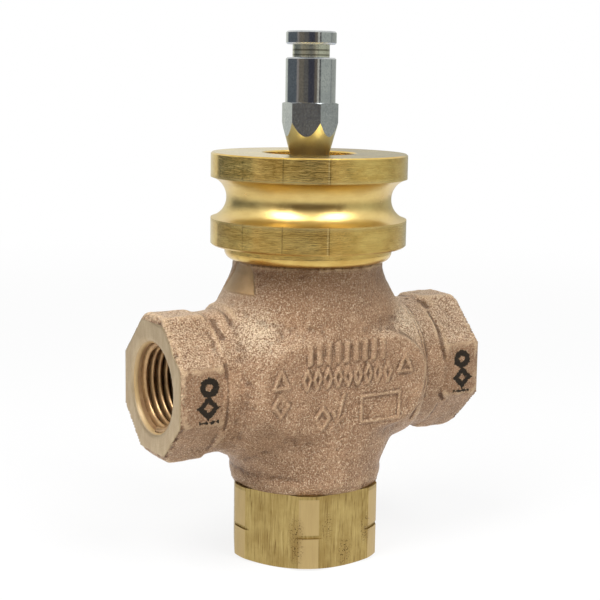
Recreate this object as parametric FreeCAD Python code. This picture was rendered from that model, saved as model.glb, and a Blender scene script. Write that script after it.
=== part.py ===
import FreeCAD, Part
import math
import os

# Three-way globe control valve for 1/2 in. pipe, in millimetres.
# Z is the stem axis and points up, z = 0 is the foot of the bottom hexagon,
# and X runs along the two side ports.

# Bottom port adapter: hexagon bar of brass with its corners turned down
HEX_HEIGHT = 18.4
HEX_FLATS = 34.8
HEX_CORNER_R = 18.9
HEX_ANGLE = 2.6
HEX_FOOT_CHAMFER = 1.6
HEX_FOOT_CHAMFER_HEIGHT = 0.55
HEX_NICK_Z = 7.9
HEX_NICK_WIDTH = 0.9
HEX_NICK_DEPTH = 0.45
ADAPTER_THREAD_LENGTH = 7.6
LOWER_SEAT_LAND_R = 10.2
LOWER_SEAT_NOZZLE = 2.0

# Flat gasket between the hexagon and the boss of the casting
ADAPTER_GASKET_THICKNESS = 0.5
ADAPTER_GASKET_R = 16.6

# Ports: female pipe thread, drawn at the root of the thread
PORT_THREAD_R = 10.5
PORT_MOUTH_R = 11.3
PORT_MOUTH_DEPTH = 0.9
PORT_THREAD_LENGTH = 14.0
PORT_DRILL_POINT = 6.3
BOTTOM_THREAD_LENGTH = 13.5

# Casting, outside
PORT_AXIS_RISE = 26.05
PORT_HALF_LENGTH = 41.9
OCTAGON_HALF_WIDTH = 15.45
OCTAGON_HALF_HEIGHT = 17.2
OCTAGON_SIDE_FACET = 12.9
OCTAGON_LENGTH = 11.2
FACE_BEVEL_HEIGHT = 1.7
FACE_BEVEL_TOP = 0.5
FACE_BEVEL_BOTTOM = 2.2
OCTAGON_EDGE_R = 0.8
COLLAR_HALF_WIDTH = 15.7
COLLAR_HALF_HEIGHT = 16.7
COLLAR_LENGTH = 6.2
BARREL_END_STEP = 1.2
BARREL_BULGE = 3.3
PAD_HALF_DEPTH = 18.8
PAD_PLATE_ROOM = 0.8
PAD_PLATE_HALF_HEIGHT = 12.2
PAD_PLATE_CROWN = 0.7
PAD_PLATE_ROOT = 5.0
PAD_PLATE_EDGE_R = 0.5
BOSS_R = 18.7
BOSS_FOOT_CHAMFER = 1.4
BOSS_FOOT_CHAMFER_HEIGHT = 1.7
BOSS_LENGTH = 3.6
NECK_R = 18.3
NECK_LENGTH = 2.1
NECK_TOP_RISE = 28.15
FLARE_END_MARGIN = 0.05
UPPER_FLARE_HEIGHT = 9.7
UPPER_FLARE_POWER = 1.2
LOWER_FLARE_HEIGHT = 8.2
LOWER_FLARE_POWER = 1.2
FLARE_STEPS = 4
BLEND_R = 3.5
BLEND_EDGE_MIN_RISE = 1.0

# Casting, inside
CHAMBER_R = 14.0
BOSS_THREAD_R = 15.0
NECK_THREAD_R = 15.0
NECK_THREAD_LENGTH = 10.0
WEB_THICKNESS = 5.0
WEB_RECESS_R = 10.0
WEB_RECESS_DEPTH = 2.4
SEAT_BORE_R = 7.6
PASSAGE_R = 8.3
PASSAGE_KNEE_OVERLAP = 0.1
PASSAGE_END_X = 6.0
PASSAGE_RISE = 11.4

# Bonnet: turned from brass bar, groove for the yoke clamp
BONNET_FLANGE_LIP = 3.4
BONNET_SHOULDER_LIP = 2.1
BONNET_SHOULDER_HEIGHT = 3.5
BONNET_SHOULDER_ROUND = 2.0
BONNET_LOWER_FLANGE = 6.45
BONNET_GROOVE_R = 5.1
BONNET_GROOVE_DEPTH = 3.8
BONNET_UPPER_FLANGE = 5.9
BONNET_EDGE_BREAK = 0.35
BONNET_RECESS_R = 11.2
BONNET_RECESS_DEPTH = 7.4
BONNET_THREAD_LENGTH = 9.0
BONNET_NOSE_R = 8.2
BONNET_NOSE_LENGTH = 4.5
BONNET_NOSE_LIP = 1.0
BONNET_GASKET_THICKNESS = 0.75
BONNET_GASKET_R = 16.9

# Stem and plug
STEM_R = 3.175
STEM_SPIGOT_R = 2.4
STEM_STROKE = 8.0
STEM_END_BELOW_NUT = 0.7
STEM_EDGE_BREAK = 0.4
PLUG_R = 9.6
PLUG_SKIRT_WALL = 1.4
PLUG_LOWER_SKIRT = 12.0
PLUG_UPPER_SKIRT = 14.0
V_PORT_COUNT = 3
V_PORT_WIDTH = 10.6
V_PORT_TIP_MARGIN = 0.6
V_PORT_OVERRUN = 1.0
SEAL_RING_R = 9.1
SEAL_RING_THICKNESS = 1.5
PLUG_WASHER_R = 5.2
PLUG_WASHER_THICKNESS = 0.8
PLUG_NUT_FLATS = 8.0
PLUG_NUT_HEIGHT = 3.2

# Stem guide and packing
GUIDE_BUSH_R = 5.0
GUIDE_BUSH_LENGTH = 6.5
PACKING_BORE_R = 5.6
BASE_RING_HEIGHT = 1.8
V_RING_COUNT = 3
V_RING_PITCH = 1.7
V_RING_DEPTH = 0.9
V_RING_GAP = 0.05
FOLLOWER_HEIGHT = 2.6
SPRING_LENGTH = 8.4
SPRING_WIRE_R = 0.5
SPRING_TURNS = 5.0
SPRING_WASHER_THICKNESS = 0.8
GLAND_THREAD_R = 7.6
GLAND_NUT_FLATS = 17.0
GLAND_NUT_HEAD = 2.8
WIPER_R = 4.8
WIPER_HEIGHT = 1.2

# Stem connector: plated steel, snaps in the actuator
CONNECTOR_R = 6.04
CONNECTOR_HEAD = 3.1
CONNECTOR_NECK_R = 4.45
CONNECTOR_NECK = 3.1
CONNECTOR_BARREL = 10.6
CONNECTOR_HEX_LENGTH = 15.686
CONNECTOR_FLATS = 11.85
CONNECTOR_ANGLE = 20.1
CONNECTOR_CONE_R = 3.8
CONNECTOR_CONE_ANGLE = 15.5
CONNECTOR_EDGE_BREAK = 0.35
CONNECTOR_BORE_DEPTH = 17.0

# Clearances
THREAD_CLEARANCE = 0.05
RUNNING_CLEARANCE = 0.05
HOLE_CLEARANCE = 0.10
SKIRT_CLEARANCE = 0.10
SEAT_GAP = 0.05
CONNECTOR_GAP = 0.9
SPRING_SIDE_CLEARANCE = 0.15

# Radii and reaches worked out from the sizes above
BARREL_HALF_LENGTH = PORT_HALF_LENGTH - OCTAGON_LENGTH - COLLAR_LENGTH
BARREL_END_R = COLLAR_HALF_HEIGHT + BARREL_END_STEP
BARREL_MIDDLE_R = BARREL_END_R + BARREL_BULGE
FLARE_HALF_WIDTH = BARREL_HALF_LENGTH - FLARE_END_MARGIN
PAD_PLATE_HALF_LENGTH = BARREL_HALF_LENGTH - PAD_PLATE_ROOM
PASSAGE_BEND_X = PORT_HALF_LENGTH - PORT_THREAD_LENGTH + PASSAGE_KNEE_OVERLAP
BONNET_SHOULDER_R = NECK_R + BONNET_SHOULDER_LIP
BONNET_FLANGE_R = BONNET_SHOULDER_R + BONNET_FLANGE_LIP
BONNET_GROOVE_FLOOR_R = BONNET_FLANGE_R - BONNET_GROOVE_DEPTH

# Levels worked out from the sizes above
BOSS_FOOT_Z = HEX_HEIGHT + ADAPTER_GASKET_THICKNESS
PORT_AXIS_Z = BOSS_FOOT_Z + PORT_AXIS_RISE
NECK_TOP_Z = PORT_AXIS_Z + NECK_TOP_RISE
WEB_BOTTOM_Z = PORT_AXIS_Z - WEB_THICKNESS / 2
WEB_TOP_Z = PORT_AXIS_Z + WEB_THICKNESS / 2
NECK_THREAD_Z = NECK_TOP_Z - NECK_THREAD_LENGTH
ADAPTER_SHOULDER_Z = BOSS_FOOT_Z + ADAPTER_THREAD_LENGTH
LOWER_SEAT_Z = ADAPTER_SHOULDER_Z + LOWER_SEAT_NOZZLE
PLUG_THICKNESS = WEB_BOTTOM_Z - LOWER_SEAT_Z - STEM_STROKE - 2 * SEAT_GAP
PLUG_BOTTOM_Z = LOWER_SEAT_Z + SEAT_GAP
PLUG_TOP_Z = PLUG_BOTTOM_Z + PLUG_THICKNESS
SKIRT_R = SEAT_BORE_R - SKIRT_CLEARANCE
PLUG_WASHER_Z = PLUG_BOTTOM_Z - PLUG_WASHER_THICKNESS
PLUG_NUT_Z = PLUG_WASHER_Z - PLUG_NUT_HEIGHT
STEM_BOTTOM_Z = PLUG_NUT_Z - STEM_END_BELOW_NUT

BONNET_FLANGE_Z = NECK_TOP_Z + BONNET_SHOULDER_HEIGHT
GROOVE_CENTRE_R = BONNET_GROOVE_FLOOR_R + BONNET_GROOVE_R
GROOVE_REACH = math.sqrt(BONNET_GROOVE_R**2 - (GROOVE_CENTRE_R - BONNET_FLANGE_R)**2)
GROOVE_BOTTOM_Z = BONNET_FLANGE_Z + BONNET_LOWER_FLANGE
GROOVE_CENTRE_Z = GROOVE_BOTTOM_Z + GROOVE_REACH
GROOVE_TOP_Z = GROOVE_CENTRE_Z + GROOVE_REACH
BONNET_TOP_Z = GROOVE_TOP_Z + BONNET_UPPER_FLANGE
BONNET_RECESS_Z = BONNET_TOP_Z - BONNET_RECESS_DEPTH
BONNET_NOSE_TOP_Z = NECK_TOP_Z - BONNET_THREAD_LENGTH
BONNET_NOSE_Z = BONNET_NOSE_TOP_Z - BONNET_NOSE_LENGTH
GUIDE_BUSH_Z = BONNET_NOSE_Z + BONNET_NOSE_LIP
PACKING_Z = GUIDE_BUSH_Z + GUIDE_BUSH_LENGTH
V_RING_Z = PACKING_Z + BASE_RING_HEIGHT
FOLLOWER_Z = V_RING_Z + V_RING_COUNT * V_RING_PITCH
SPRING_Z = FOLLOWER_Z + FOLLOWER_HEIGHT
SPRING_WASHER_Z = SPRING_Z + SPRING_LENGTH
GLAND_NUT_Z = SPRING_WASHER_Z + SPRING_WASHER_THICKNESS
GLAND_NUT_TOP_Z = BONNET_RECESS_Z + GLAND_NUT_HEAD
CONNECTOR_BOTTOM_Z = GLAND_NUT_TOP_Z + CONNECTOR_GAP
CONNECTOR_HEX_TOP_Z = CONNECTOR_BOTTOM_Z + CONNECTOR_HEX_LENGTH
CONNECTOR_BARREL_TOP_Z = CONNECTOR_HEX_TOP_Z + CONNECTOR_BARREL
CONNECTOR_TOP_Z = CONNECTOR_BARREL_TOP_Z + CONNECTOR_NECK + CONNECTOR_HEAD
STEM_TOP_Z = CONNECTOR_BOTTOM_Z + CONNECTOR_BORE_DEPTH

UP = FreeCAD.Vector(0, 0, 1)
CENTRE = FreeCAD.Vector(0, 0, 0)


def turned(outline):
    """A solid of revolution about Z from a closed outline of (radius, height) points.

    A pair of points in the outline is an arc through the first one to the second one.
    """
    edges = []
    start = outline[0]
    for stop in outline[1:] + outline[:1]:
        here = FreeCAD.Vector(start[0], 0, start[1])
        if isinstance(stop[0], tuple):
            middle, end = stop
            there = FreeCAD.Vector(end[0], 0, end[1])
            edges.append(Part.Arc(here, FreeCAD.Vector(middle[0], 0, middle[1]), there).toShape())
            start = end
        else:
            there = FreeCAD.Vector(stop[0], 0, stop[1])
            edges.append(Part.makeLine(here, there))
            start = stop
    return Part.Face(Part.Wire(edges)).revolve(CENTRE, UP, 360)


def disc(radius, bottom, top):
    """A plain round bar on the stem axis."""
    return Part.makeCylinder(radius, top - bottom, FreeCAD.Vector(0, 0, bottom), UP)


def ring(inner, outer, bottom, top):
    """A flat ring on the stem axis."""
    return turned([(inner, bottom), (outer, bottom), (outer, top), (inner, top)])


def hexagon(flats, bottom, top, angle):
    """A hexagon bar on the stem axis, with one corner at the given angle from +X."""
    corner_r = flats / 2 / math.cos(math.radians(30))
    corners = []
    for step in range(7):
        a = math.radians(angle + 60 * step)
        corners.append(FreeCAD.Vector(corner_r * math.cos(a), corner_r * math.sin(a), bottom))
    return Part.Face(Part.makePolygon(corners)).extrude(UP * (top - bottom))


def along_x(solid, side):
    """Turn a solid made about Z so that it lies about the port axis, pointing to side -1 or +1."""
    solid = solid.copy()
    solid.rotate(CENTRE, FreeCAD.Vector(0, 1, 0), 90 * side)
    solid.translate(FreeCAD.Vector(0, 0, PORT_AXIS_Z))
    return solid


def port_end(side):
    """The octagon at one end of the casting, its raw rim bevelled above and below the faced end."""
    facet = OCTAGON_SIDE_FACET / 2
    flat = OCTAGON_HALF_WIDTH - (OCTAGON_HALF_HEIGHT - facet)
    y, z = OCTAGON_HALF_WIDTH, OCTAGON_HALF_HEIGHT
    outline = [(y, facet), (flat, z), (-flat, z), (-y, facet),
               (-y, -facet), (-flat, -z), (flat, -z), (y, -facet)]
    inner_x = PORT_HALF_LENGTH - OCTAGON_LENGTH
    corners = [FreeCAD.Vector(side * inner_x, a, PORT_AXIS_Z + b) for a, b in outline]
    prism = Part.Face(Part.makePolygon(corners + corners[:1]))
    prism = prism.extrude(FreeCAD.Vector(side * OCTAGON_LENGTH, 0, 0))
    cast_edges = []
    for edge in prism.Edges:
        if min(abs(vertex.X) for vertex in edge.Vertexes) < PORT_HALF_LENGTH - OCTAGON_EDGE_R:
            cast_edges.append(edge)
    prism = prism.makeFillet(OCTAGON_EDGE_R, cast_edges)
    for up, depth in ((1, FACE_BEVEL_TOP), (-1, FACE_BEVEL_BOTTOM)):
        rim = PORT_AXIS_Z + up * OCTAGON_HALF_HEIGHT
        face_x = side * PORT_HALF_LENGTH
        wedge = [FreeCAD.Vector(face_x, -y, rim - up * FACE_BEVEL_HEIGHT),
                 FreeCAD.Vector(face_x - side * depth, -y, rim),
                 FreeCAD.Vector(face_x, -y, rim)]
        wedge = Part.Face(Part.makePolygon(wedge + wedge[:1]))
        prism = prism.cut(wedge.extrude(FreeCAD.Vector(0, 2 * y, 0)))
    return prism


def oval(half_x, half_y, level):
    """A closed level outline around the stem axis, wider along the ports than across them."""
    if half_x - half_y < 1e-6:
        return Part.Wire(Part.makeCircle(half_y, FreeCAD.Vector(0, 0, level)))
    return Part.Wire(Part.Ellipse(FreeCAD.Vector(0, 0, level), half_x, half_y).toShape())


def flare(radius, start_z, height, power):
    """A trumpet that widens along the ports only, from a round stub to the barrel, and its root in it.

    A negative height makes it widen downwards, and a higher power makes it widen later.
    """
    spread = FLARE_HALF_WIDTH - radius
    rings = []
    for step in range(FLARE_STEPS + 1):
        share = step / FLARE_STEPS
        rings.append(oval(radius + spread * share**power, radius, start_z + share * height))
    root = Part.Face(rings[-1]).extrude(UP * height)
    return Part.makeLoft(rings, True, False).fuse(root)


def pad_plate(side):
    """The low oval plate that stands on the front, side -1, or the back of the barrel."""
    half_x, half_z = PAD_PLATE_HALF_LENGTH, PAD_PLATE_HALF_HEIGHT
    end_r = half_z - PAD_PLATE_CROWN
    end_x = half_x - end_r
    long_r = (end_x**2 + half_z**2 - end_r**2) / (2 * PAD_PLATE_CROWN)
    slant = math.atan2(end_x, long_r - half_z)
    meet_x = end_x + end_r * math.sin(slant)
    meet_z = end_r * math.cos(slant)
    y = side * (PAD_HALF_DEPTH - PAD_PLATE_ROOT)
    outline = [(-meet_x, meet_z), (0, half_z), (meet_x, meet_z), (half_x, 0),
               (meet_x, -meet_z), (0, -half_z), (-meet_x, -meet_z), (-half_x, 0), (-meet_x, meet_z)]
    spots = [FreeCAD.Vector(x, y, PORT_AXIS_Z + z) for x, z in outline]
    arcs = [Part.Arc(*spots[n:n + 3]).toShape() for n in (0, 2, 4, 6)]
    plate = Part.Face(Part.Wire(arcs)).extrude(FreeCAD.Vector(0, side * PAD_PLATE_ROOT, 0))
    rim = [edge for edge in plate.Edges
           if min(abs(vertex.Y) for vertex in edge.Vertexes) > PAD_HALF_DEPTH - PAD_PLATE_EDGE_R]
    return plate.makeFillet(PAD_PLATE_EDGE_R, rim)


def casting_outside():
    """Bulged barrel, flared neck and boss, pad plates front and back, collars and octagons."""
    barrel = turned([(0, -BARREL_HALF_LENGTH), (BARREL_END_R, -BARREL_HALF_LENGTH),
                     ((BARREL_MIDDLE_R, 0), (BARREL_END_R, BARREL_HALF_LENGTH)),
                     (0, BARREL_HALF_LENGTH)])
    boss_top = BOSS_FOOT_Z + BOSS_LENGTH
    boss = turned([(0, BOSS_FOOT_Z), (BOSS_R - BOSS_FOOT_CHAMFER, BOSS_FOOT_Z),
                   (BOSS_R, BOSS_FOOT_Z + BOSS_FOOT_CHAMFER_HEIGHT), (BOSS_R, boss_top), (0, boss_top)])
    neck_foot = NECK_TOP_Z - NECK_LENGTH
    crossing = along_x(barrel, 1).multiFuse([
        flare(NECK_R, neck_foot, -UPPER_FLARE_HEIGHT, UPPER_FLARE_POWER), disc(NECK_R, neck_foot, NECK_TOP_Z),
        flare(BOSS_R, boss_top, LOWER_FLARE_HEIGHT, LOWER_FLARE_POWER), boss]).removeSplitter()
    crossing = crossing.makeFillet(BLEND_R, blend_edges(crossing))
    block = Part.makeBox(2 * PORT_HALF_LENGTH, 2 * PAD_HALF_DEPTH, NECK_TOP_Z,
                         FreeCAD.Vector(-PORT_HALF_LENGTH, -PAD_HALF_DEPTH, 0))
    crossing = crossing.common(block)
    parts = []
    for side in (-1, 1):
        collar = Part.Face(oval(COLLAR_HALF_HEIGHT, COLLAR_HALF_WIDTH, 0))
        parts.append(along_x(collar.extrude(UP * (PORT_HALF_LENGTH - OCTAGON_LENGTH)), side))
        parts.append(port_end(side))
        parts.append(pad_plate(side))
    return crossing.multiFuse(parts).removeSplitter()


def blend_edges(solid):
    """The curves along which the barrel meets the flares."""
    found = []
    for edge in solid.Edges:
        points = edge.discretize(9)
        heights = [point.z for point in points]
        reach = max(abs(point.x) for point in points)
        rise = max(heights) - min(heights)
        if rise > BLEND_EDGE_MIN_RISE and reach < BARREL_HALF_LENGTH - RUNNING_CLEARANCE:
            found.append(edge)
    return found


def port_bore(length):
    """A threaded bore with its countersunk mouth, opening at z = 0 and running up."""
    return turned([(0, 0), (PORT_MOUTH_R, 0), (PORT_THREAD_R, PORT_MOUTH_DEPTH),
                   (PORT_THREAD_R, length), (0, length + PORT_DRILL_POINT)])


def side_passage(side):
    """The bent flow way behind a side port: up to the upper chamber at -X, down at +X."""
    bend = FreeCAD.Vector(side * PASSAGE_BEND_X, 0, PORT_AXIS_Z)
    end = FreeCAD.Vector(side * PASSAGE_END_X, 0, PORT_AXIS_Z - side * PASSAGE_RISE)
    run = end - bend
    slope = Part.makeCylinder(PASSAGE_R, run.Length, bend, run)
    knee = Part.makeSphere(PASSAGE_R, bend)
    bore = port_bore(PORT_THREAD_LENGTH)
    bore.rotate(CENTRE, FreeCAD.Vector(0, 1, 0), -90 * side)
    bore.translate(FreeCAD.Vector(side * PORT_HALF_LENGTH, 0, PORT_AXIS_Z))
    return slope.multiFuse([knee, bore])


def body_casting():
    """The bronze casting with its seat web across the middle."""
    body = casting_outside()
    column = turned([
        (0, BOSS_FOOT_Z), (BOSS_THREAD_R, BOSS_FOOT_Z), (BOSS_THREAD_R, ADAPTER_SHOULDER_Z),
        (CHAMBER_R, ADAPTER_SHOULDER_Z + BOSS_THREAD_R - CHAMBER_R),
        (CHAMBER_R, WEB_BOTTOM_Z - WEB_RECESS_DEPTH), (WEB_RECESS_R, WEB_BOTTOM_Z - WEB_RECESS_DEPTH),
        (WEB_RECESS_R, WEB_BOTTOM_Z), (SEAT_BORE_R, WEB_BOTTOM_Z), (SEAT_BORE_R, WEB_TOP_Z),
        (WEB_RECESS_R, WEB_TOP_Z), (WEB_RECESS_R, WEB_TOP_Z + WEB_RECESS_DEPTH),
        (CHAMBER_R, WEB_TOP_Z + WEB_RECESS_DEPTH), (CHAMBER_R, NECK_THREAD_Z - NECK_THREAD_R + CHAMBER_R),
        (NECK_THREAD_R, NECK_THREAD_Z), (NECK_THREAD_R, NECK_TOP_Z - BONNET_GASKET_THICKNESS),
        (BONNET_GASKET_R + THREAD_CLEARANCE, NECK_TOP_Z - BONNET_GASKET_THICKNESS),
        (BONNET_GASKET_R + THREAD_CLEARANCE, NECK_TOP_Z), (0, NECK_TOP_Z)])
    return body.cut(column.multiFuse([side_passage(-1), side_passage(1)]))


def bottom_port_adapter():
    """Brass hexagon with the bottom port, a threaded spigot and the lower seat on its nozzle."""
    nick = HEX_NICK_Z + HEX_NICK_WIDTH
    envelope = turned([
        (0, 0), (HEX_CORNER_R - HEX_FOOT_CHAMFER, 0), (HEX_CORNER_R, HEX_FOOT_CHAMFER_HEIGHT),
        (HEX_CORNER_R, HEX_NICK_Z), (HEX_CORNER_R - HEX_NICK_DEPTH, HEX_NICK_Z),
        (HEX_CORNER_R - HEX_NICK_DEPTH, nick), (HEX_CORNER_R, nick),
        (HEX_CORNER_R, HEX_HEIGHT), (0, HEX_HEIGHT)])
    head = hexagon(HEX_FLATS, 0, HEX_HEIGHT, HEX_ANGLE).common(envelope)
    spigot = disc(BOSS_THREAD_R - THREAD_CLEARANCE, HEX_HEIGHT, ADAPTER_SHOULDER_Z)
    nozzle = disc(LOWER_SEAT_LAND_R, ADAPTER_SHOULDER_Z, LOWER_SEAT_Z)
    solid = head.multiFuse([spigot, nozzle]).removeSplitter()
    bore = port_bore(BOTTOM_THREAD_LENGTH)
    return solid.cut(bore.fuse(disc(SEAT_BORE_R, 0, LOWER_SEAT_Z)))


def bonnet():
    """Brass bonnet: threaded nose, shoulder, two flanges with a round groove, recess on top."""
    brim = BONNET_SHOULDER_R - BONNET_SHOULDER_ROUND
    corner = BONNET_SHOULDER_ROUND * (1 - math.sqrt(0.5))
    edge = BONNET_EDGE_BREAK
    return turned([
        (STEM_R + HOLE_CLEARANCE, BONNET_NOSE_Z), (BONNET_NOSE_R, BONNET_NOSE_Z),
        (BONNET_NOSE_R, BONNET_NOSE_TOP_Z), (NECK_THREAD_R - THREAD_CLEARANCE, BONNET_NOSE_TOP_Z),
        (NECK_THREAD_R - THREAD_CLEARANCE, NECK_TOP_Z), (brim, NECK_TOP_Z),
        ((BONNET_SHOULDER_R - corner, NECK_TOP_Z + corner),
         (BONNET_SHOULDER_R, NECK_TOP_Z + BONNET_SHOULDER_ROUND)),
        (BONNET_SHOULDER_R, BONNET_FLANGE_Z),
        (BONNET_FLANGE_R - edge, BONNET_FLANGE_Z), (BONNET_FLANGE_R, BONNET_FLANGE_Z + edge),
        (BONNET_FLANGE_R, GROOVE_BOTTOM_Z),
        ((BONNET_GROOVE_FLOOR_R, GROOVE_CENTRE_Z), (BONNET_FLANGE_R, GROOVE_TOP_Z)),
        (BONNET_FLANGE_R, BONNET_TOP_Z - edge), (BONNET_FLANGE_R - edge, BONNET_TOP_Z),
        (BONNET_RECESS_R + edge, BONNET_TOP_Z), (BONNET_RECESS_R, BONNET_TOP_Z - edge),
        (BONNET_RECESS_R, BONNET_RECESS_Z), (GLAND_THREAD_R, BONNET_RECESS_Z),
        (GLAND_THREAD_R, GLAND_NUT_Z), (PACKING_BORE_R, GLAND_NUT_Z),
        (PACKING_BORE_R, PACKING_Z), (GUIDE_BUSH_R, PACKING_Z), (GUIDE_BUSH_R, GUIDE_BUSH_Z),
        (STEM_R + HOLE_CLEARANCE, GUIDE_BUSH_Z)])


def v_port(reach, level, up):
    """One V-shaped window of a skirt: a point beside the disc, open at the free end."""
    tip = level + up * V_PORT_TIP_MARGIN
    mouth = level + up * (reach + V_PORT_OVERRUN)
    outline = [FreeCAD.Vector(0, 0, tip), FreeCAD.Vector(0, -V_PORT_WIDTH / 2, mouth),
               FreeCAD.Vector(0, V_PORT_WIDTH / 2, mouth)]
    return Part.Face(Part.makePolygon(outline + outline[:1])).extrude(FreeCAD.Vector(2 * PLUG_R, 0, 0))


def plug():
    """Brass plug: a disc with seal ring grooves in both faces and a V-port skirt on each side."""
    inner = SKIRT_R - PLUG_SKIRT_WALL
    low, high = PLUG_BOTTOM_Z, PLUG_TOP_Z
    skirts = ring(inner, SKIRT_R, low - PLUG_LOWER_SKIRT, high + PLUG_UPPER_SKIRT)
    windows = []
    for step in range(V_PORT_COUNT):
        for reach, level, up in ((PLUG_LOWER_SKIRT, low, -1), (PLUG_UPPER_SKIRT, high, 1)):
            window = v_port(reach, level, up)
            window.rotate(CENTRE, UP, (step + 0.5) * 360 / V_PORT_COUNT)
            windows.append(window)
    hub = turned([
        (STEM_SPIGOT_R + THREAD_CLEARANCE, low), (SKIRT_R, low), (SKIRT_R, low + SEAL_RING_THICKNESS),
        (SEAL_RING_R, low + SEAL_RING_THICKNESS), (SEAL_RING_R, low), (PLUG_R, low), (PLUG_R, high),
        (SEAL_RING_R, high), (SEAL_RING_R, high - SEAL_RING_THICKNESS),
        (SKIRT_R, high - SEAL_RING_THICKNESS), (SKIRT_R, high),
        (STEM_SPIGOT_R + THREAD_CLEARANCE, high)])
    return hub.fuse(skirts.cut(windows[0].multiFuse(windows[1:]))).removeSplitter()


def stem():
    """Stainless rod, its lower end turned down to a spigot for the plug."""
    tip = STEM_EDGE_BREAK
    return turned([
        (0, STEM_BOTTOM_Z), (STEM_SPIGOT_R - tip, STEM_BOTTOM_Z), (STEM_SPIGOT_R, STEM_BOTTOM_Z + tip),
        (STEM_SPIGOT_R, PLUG_TOP_Z), (STEM_R, PLUG_TOP_Z), (STEM_R, STEM_TOP_Z - tip),
        (STEM_R - tip, STEM_TOP_Z), (0, STEM_TOP_Z)])


def packing_section(bottom, top, ridge_below, ridge_above):
    """A packing piece between stem and bore; a ridge is the height of the chevron in that face."""
    inner = STEM_R + RUNNING_CLEARANCE
    outer = PACKING_BORE_R - RUNNING_CLEARANCE
    middle = (inner + outer) / 2
    return turned([(inner, bottom), (middle, bottom + ridge_below), (outer, bottom),
                   (outer, top), (middle, top + ridge_above), (inner, top)])


def v_ring(step):
    """One chevron packing ring."""
    bottom = V_RING_Z + step * V_RING_PITCH
    return packing_section(bottom, bottom + V_RING_PITCH - V_RING_GAP, V_RING_DEPTH, V_RING_DEPTH)


def packing_spring():
    """Helical compression spring with its ends ground flat."""
    mean_r = PACKING_BORE_R - SPRING_SIDE_CLEARANCE - SPRING_WIRE_R
    pitch = (SPRING_LENGTH - SPRING_WIRE_R) / SPRING_TURNS
    helix = Part.makeHelix(pitch, pitch * SPRING_TURNS, mean_r)
    helix.translate(FreeCAD.Vector(0, 0, SPRING_Z + SPRING_WIRE_R / 2))
    start = FreeCAD.Vector(mean_r, 0, SPRING_Z + SPRING_WIRE_R / 2)
    wire = Part.Wire(Part.makeCircle(SPRING_WIRE_R, start, FreeCAD.Vector(0, 1, 0)))
    coil = Part.Wire(helix.Edges).makePipeShell([wire], True, True)
    return coil.common(disc(PACKING_BORE_R, SPRING_Z, SPRING_WASHER_Z))


def gland_nut():
    """Hexagon nut that closes the packing chamber, with a groove for the wiper on top."""
    hole = STEM_R + HOLE_CLEARANCE
    head = hexagon(GLAND_NUT_FLATS, BONNET_RECESS_Z, GLAND_NUT_TOP_Z, 0)
    nut = head.fuse(disc(GLAND_THREAD_R - THREAD_CLEARANCE, GLAND_NUT_Z, BONNET_RECESS_Z))
    nut = nut.removeSplitter().cut(disc(hole, GLAND_NUT_Z, GLAND_NUT_TOP_Z))
    return nut.cut(disc(WIPER_R, GLAND_NUT_TOP_Z - WIPER_HEIGHT, GLAND_NUT_TOP_Z))


def plug_nut():
    """Small hexagon nut under the plug."""
    nut = hexagon(PLUG_NUT_FLATS, PLUG_NUT_Z, PLUG_WASHER_Z, 0)
    return nut.cut(disc(STEM_SPIGOT_R + THREAD_CLEARANCE, PLUG_NUT_Z, PLUG_WASHER_Z))


def stem_connector():
    """Button, neck and barrel turned on a hexagon whose lower end is turned to a cone."""
    edge = CONNECTOR_EDGE_BREAK
    corner_r = CONNECTOR_FLATS / 2 / math.cos(math.radians(30))
    slope = math.tan(math.radians(CONNECTOR_CONE_ANGLE))
    cone_top = CONNECTOR_BOTTOM_Z + (corner_r + edge - CONNECTOR_CONE_R) / slope
    head_z = CONNECTOR_TOP_Z - CONNECTOR_HEAD
    envelope = turned([
        (0, CONNECTOR_BOTTOM_Z), (CONNECTOR_CONE_R, CONNECTOR_BOTTOM_Z), (corner_r + edge, cone_top),
        (corner_r + edge, CONNECTOR_HEX_TOP_Z - edge), (CONNECTOR_R, CONNECTOR_HEX_TOP_Z),
        (0, CONNECTOR_HEX_TOP_Z)])
    wrench = hexagon(CONNECTOR_FLATS, CONNECTOR_BOTTOM_Z, CONNECTOR_HEX_TOP_Z, CONNECTOR_ANGLE)
    button = turned([
        (0, CONNECTOR_HEX_TOP_Z), (CONNECTOR_R, CONNECTOR_HEX_TOP_Z),
        (CONNECTOR_R, CONNECTOR_BARREL_TOP_Z - edge), (CONNECTOR_R - edge, CONNECTOR_BARREL_TOP_Z),
        (CONNECTOR_NECK_R, CONNECTOR_BARREL_TOP_Z), (CONNECTOR_NECK_R, head_z),
        (CONNECTOR_R - edge, head_z), (CONNECTOR_R, head_z + edge),
        (CONNECTOR_R, CONNECTOR_TOP_Z - edge), (CONNECTOR_R - edge, CONNECTOR_TOP_Z),
        (0, CONNECTOR_TOP_Z)])
    solid = wrench.common(envelope).fuse(button).removeSplitter()
    return solid.cut(disc(STEM_R, CONNECTOR_BOTTOM_Z, STEM_TOP_Z))


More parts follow.
